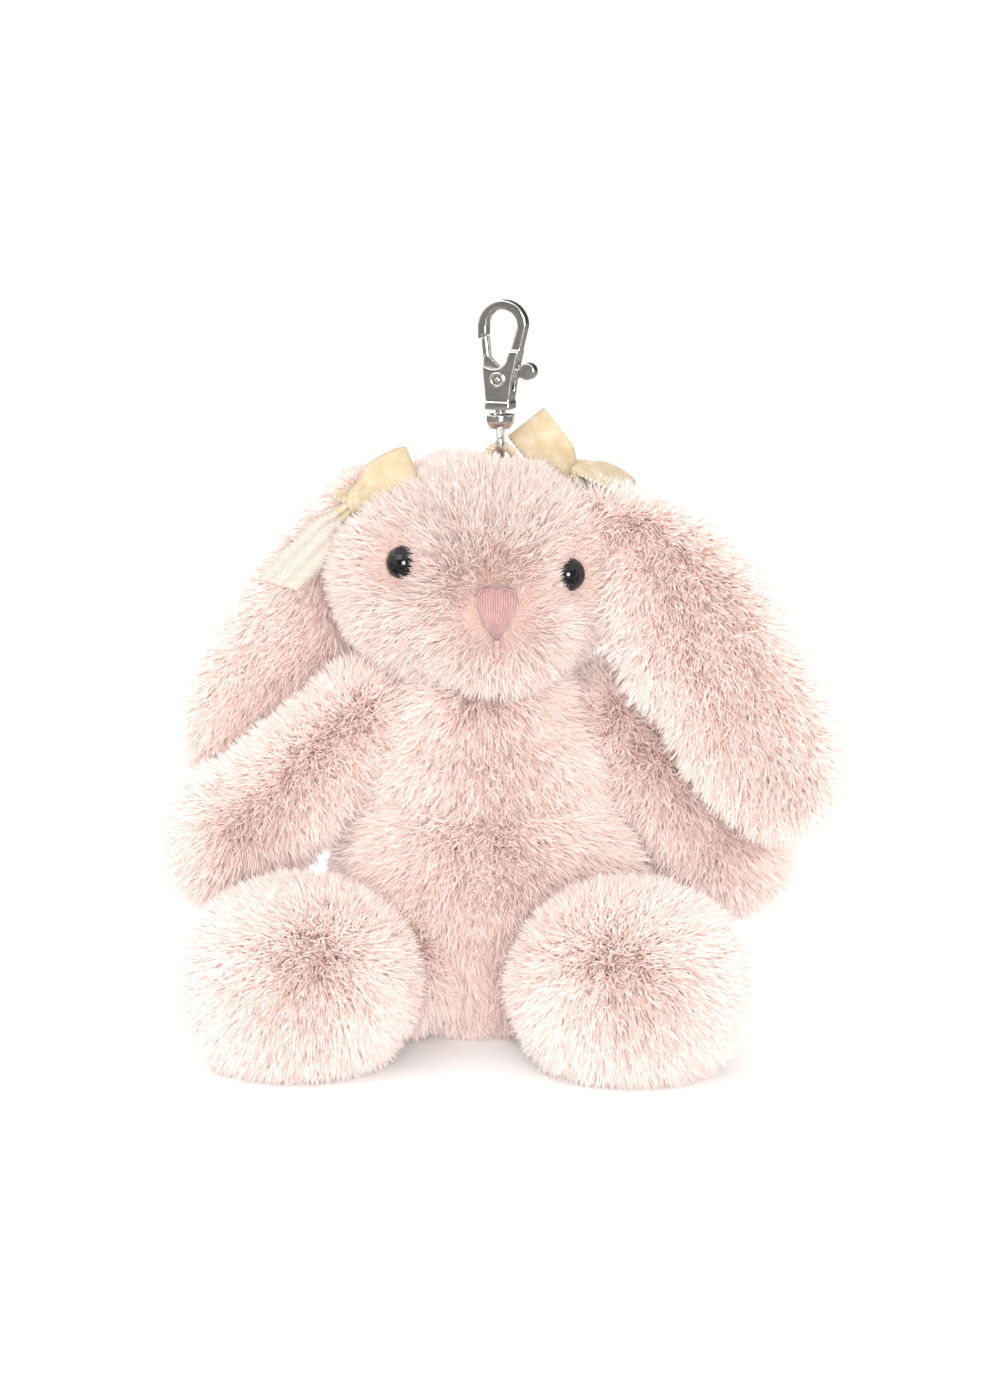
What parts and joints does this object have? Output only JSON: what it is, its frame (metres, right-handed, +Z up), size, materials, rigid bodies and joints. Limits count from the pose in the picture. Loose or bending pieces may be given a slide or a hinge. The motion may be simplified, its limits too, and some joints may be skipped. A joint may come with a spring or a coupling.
{
  "type": "plush keychain",
  "caption": "Small seated plush bunny with long hanging ears and two ribbon bows, on a cord loop with a swivel snap hook.",
  "frame": {"origin": "centre of the flat underside of the body, on the surface the bunny sits on", "axes": "+Z up, the face looks along -Y, +X is the viewer's right"},
  "size_m": [0.1277, 0.085, 0.1454],
  "materials": {
    "fur_skin": "pale pink short-pile plush",
    "stuffing": "white polyester fibre filling",
    "bag_cloth": "plain woven inner bag of pellets",
    "eye": "glossy black",
    "washer": "white nylon",
    "nose_thread": "satin-stitched dusty pink thread",
    "velvet": "cream velvet ribbon with a satin back",
    "cord": "cream cord",
    "nickel": "bright nickel plate",
    "spring_wire": "spring steel"
  },
  "bodies": {
    "torso": {"body_skin": "fur_skin", "body_stuffing": "stuffing", "pellet_bag": "bag_cloth", "tail_skin": "fur_skin", "tail_stuffing": "stuffing"},
    "head": {"head_skin": "fur_skin", "head_stuffing": "stuffing", "eye_left": "eye", "eye_right": "eye", "eye_left_washer": "washer", "eye_right_washer": "washer", "nose_stitching": "nose_thread", "mouth_stitching": "nose_thread", "hanging_loop": "cord", "bow_left_knot": "velvet", "bow_left_loop_front": "velvet", "bow_left_loop_back": "velvet", "bow_left_tail": "velvet", "bow_left_thread": "velvet", "bow_right_knot": "velvet", "bow_right_loop_standing": "velvet", "bow_right_loop_side": "velvet", "bow_right_thread": "velvet"},
    "ear_left": {"ear_left_skin": "fur_skin", "ear_left_batting": "stuffing"},
    "ear_right": {"ear_right_skin": "fur_skin", "ear_right_batting": "stuffing"},
    "arm_left": {"arm_left_skin": "fur_skin", "arm_left_stuffing": "stuffing"},
    "arm_right": {"arm_right_skin": "fur_skin", "arm_right_stuffing": "stuffing"},
    "leg_left": {"leg_left_skin": "fur_skin", "leg_left_stuffing": "stuffing"},
    "leg_right": {"leg_right_skin": "fur_skin", "leg_right_stuffing": "stuffing"},
    "swivel": {"swivel_eye": "nickel"},
    "hook": {"hook_body": "nickel", "gate_rivet": "nickel", "gate_spring": "spring_wire"},
    "gate": {"gate_lever": "nickel"}
  },
  "joints": [
    {"name": "head_tilt", "type": "hinge", "parent": "torso", "child": "head", "pos_m": [0, 0, 0.062], "axis": [0, 1, 0], "range_deg": [-8, 8], "stiffness_Nm_per_rad": 0.12},
    {"name": "ear_left_lift", "type": "hinge", "parent": "head", "child": "ear_left", "pos_m": [-0.0245, 0.0078, 0.1033], "axis": [0, 1, 0], "range_deg": [0, 75], "stiffness_Nm_per_rad": 0.02},
    {"name": "ear_right_lift", "type": "hinge", "parent": "head", "child": "ear_right", "pos_m": [0.0238, -0.003, 0.1007], "axis": [0, -1, 0], "range_deg": [0, 60], "stiffness_Nm_per_rad": 0.02},
    {"name": "arm_left_raise", "type": "hinge", "parent": "torso", "child": "arm_left", "pos_m": [-0.0236, -0.002, 0.0632], "axis": [0, 1, 0], "range_deg": [0, 60], "stiffness_Nm_per_rad": 0.03},
    {"name": "arm_right_raise", "type": "hinge", "parent": "torso", "child": "arm_right", "pos_m": [0.0252, 0.002, 0.0626], "axis": [0, -1, 0], "range_deg": [0, 45], "stiffness_Nm_per_rad": 0.03},
    {"name": "leg_left_lift", "type": "hinge", "parent": "torso", "child": "leg_left", "pos_m": [-0.0178, -0.014, 0.016], "axis": [-1, 0, 0], "range_deg": [0, 22], "stiffness_Nm_per_rad": 0.06},
    {"name": "leg_right_lift", "type": "hinge", "parent": "torso", "child": "leg_right", "pos_m": [0.0164, -0.016, 0.016], "axis": [-1, 0, 0], "range_deg": [0, 22], "stiffness_Nm_per_rad": 0.06},
    {"name": "clasp_swing", "type": "hinge", "parent": "head", "child": "swivel", "pos_m": [0.0031, 0, 0.1168], "axis": [1, 0, 0], "range_deg": [-15, 80]},
    {"name": "hook_swivel", "type": "hinge", "parent": "swivel", "child": "hook", "pos_m": [0.0031, 0, 0.124], "axis": [0, 0, 1], "continuous": true},
    {"name": "gate_pivot", "type": "hinge", "parent": "hook", "child": "gate", "pos_m": [0.0031, 0, 0.1299], "axis": [0.309, 0.9511, 0], "range_deg": [0, 25], "stiffness_Nm_per_rad": 0.002, "springref_deg": -11.46}
  ]
}
